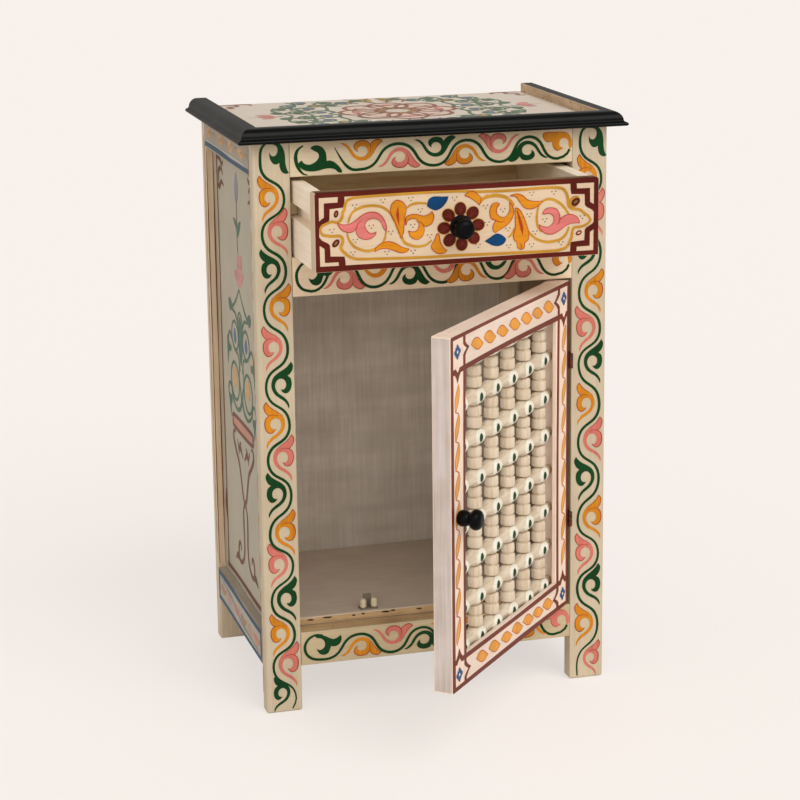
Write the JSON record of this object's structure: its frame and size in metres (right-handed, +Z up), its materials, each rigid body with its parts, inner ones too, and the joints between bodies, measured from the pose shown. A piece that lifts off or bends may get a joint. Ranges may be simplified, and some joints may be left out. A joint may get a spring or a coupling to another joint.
{
  "type": "nightstand",
  "caption": "Painted wooden nightstand with a pulled-out drawer over a hinged door of turned mashrabiya lattice, black moulded top and flower-painted ivory frame",
  "frame": {"origin": "on the floor, in the middle of the rest bounding box; the case's front face is at y = -0.0143 and its centre line at x = 0", "axes": "+X to the right as seen from the front, +Y from the front to the back, +Z up"},
  "size_m": [0.397, 0.4754, 0.6003],
  "materials": {
    "case_paint": "hand-painted ivory, satin, worn arrises",
    "side_paint": "hand-painted dull ivory with brown brushwork, satin",
    "door_paint": "hand-painted ivory with maroon lines, satin",
    "drawer_paint": "hand-painted ivory with maroon border, satin",
    "top_paint": "hand-painted ivory with interlaced knot, satin",
    "moulding_black": "black lacquer, semi-gloss, worn to brown at edges",
    "inside_wash": "thin brown-grey wash, matt, brushed",
    "drawer_wood": "bare softwood, matt",
    "runner_wood": "bare softwood, matt, rubbed",
    "lattice_wood": "turned pale wood, ivory paint on the beads with green dots",
    "knob_black": "black lacquer, gloss",
    "hinge_iron": "rusty painted iron, dull",
    "catch_nylon": "off-white nylon, satin"
  },
  "bodies": {
    "carcass": {"front_left_post": "case_paint", "front_right_post": "case_paint", "front_top_rail": "case_paint", "front_middle_rail": "case_paint", "front_bottom_rail": "case_paint", "rear_left_post": "side_paint", "rear_right_post": "side_paint", "left_top_rail": "side_paint", "left_bottom_rail": "side_paint", "right_top_rail": "side_paint", "right_bottom_rail": "side_paint", "left_side_panel": "side_paint", "right_side_panel": "side_paint", "rear_top_rail": "side_paint", "rear_bottom_rail": "side_paint", "back_panel": "inside_wash", "cabinet_floor": "inside_wash", "top_panel": "top_paint", "top_moulding_front": "moulding_black", "top_moulding_left": "moulding_black", "top_moulding_right": "moulding_black", "drawer_runner_left": "runner_wood", "drawer_runner_right": "runner_wood", "hinge_upper_post_leaf": "hinge_iron", "hinge_lower_post_leaf": "hinge_iron", "catch_base": "catch_nylon"},
    "drawer": {"drawer_front": "drawer_paint", "drawer_left_side": "drawer_paint", "drawer_right_side": "drawer_paint", "drawer_back": "drawer_wood", "drawer_bottom": "drawer_wood", "drawer_knob": "knob_black"},
    "door": {"door_free_stile": "door_paint", "door_hinge_stile": "door_paint", "door_top_rail": "door_paint", "door_bottom_rail": "door_paint", "lattice_spindle_1": "lattice_wood", "lattice_spindle_2": "lattice_wood", "lattice_spindle_3": "lattice_wood", "lattice_spindle_4": "lattice_wood", "lattice_spindle_5": "lattice_wood", "lattice_spindle_6": "lattice_wood", "lattice_cross_1": "lattice_wood", "lattice_cross_2": "lattice_wood", "lattice_cross_3": "lattice_wood", "lattice_cross_4": "lattice_wood", "lattice_cross_5": "lattice_wood", "lattice_cross_6": "lattice_wood", "lattice_cross_7": "lattice_wood", "lattice_cross_8": "lattice_wood", "door_knob": "knob_black", "hinge_upper_door_leaf": "hinge_iron", "hinge_lower_door_leaf": "hinge_iron", "catch_strike": "catch_nylon"},
    "catch_roller_left_body": {"catch_roller_left": "catch_nylon"},
    "catch_roller_right_body": {"catch_roller_right": "catch_nylon"}
  },
  "joints": [
    {"name": "drawer_slide", "type": "slide", "parent": "carcass", "child": "drawer", "axis": [0, -1, 0], "range_m": [-0.0848, 0.0952]},
    {"name": "door_hinge", "type": "hinge", "parent": "carcass", "child": "door", "pos_m": [0.1438, -0.01687, 0.258], "axis": [0, 0, 1], "range_deg": [-48.3, 111.7]},
    {"name": "catch_roller_left_spin", "type": "hinge", "parent": "carcass", "child": "catch_roller_left_body", "pos_m": [-0.0718, 0.01323, 0.099], "axis": [0, 0, 1], "continuous": true},
    {"name": "catch_roller_right_spin", "type": "hinge", "parent": "carcass", "child": "catch_roller_right_body", "pos_m": [-0.0602, 0.01323, 0.099], "axis": [0, 0, 1], "continuous": true}
  ]
}
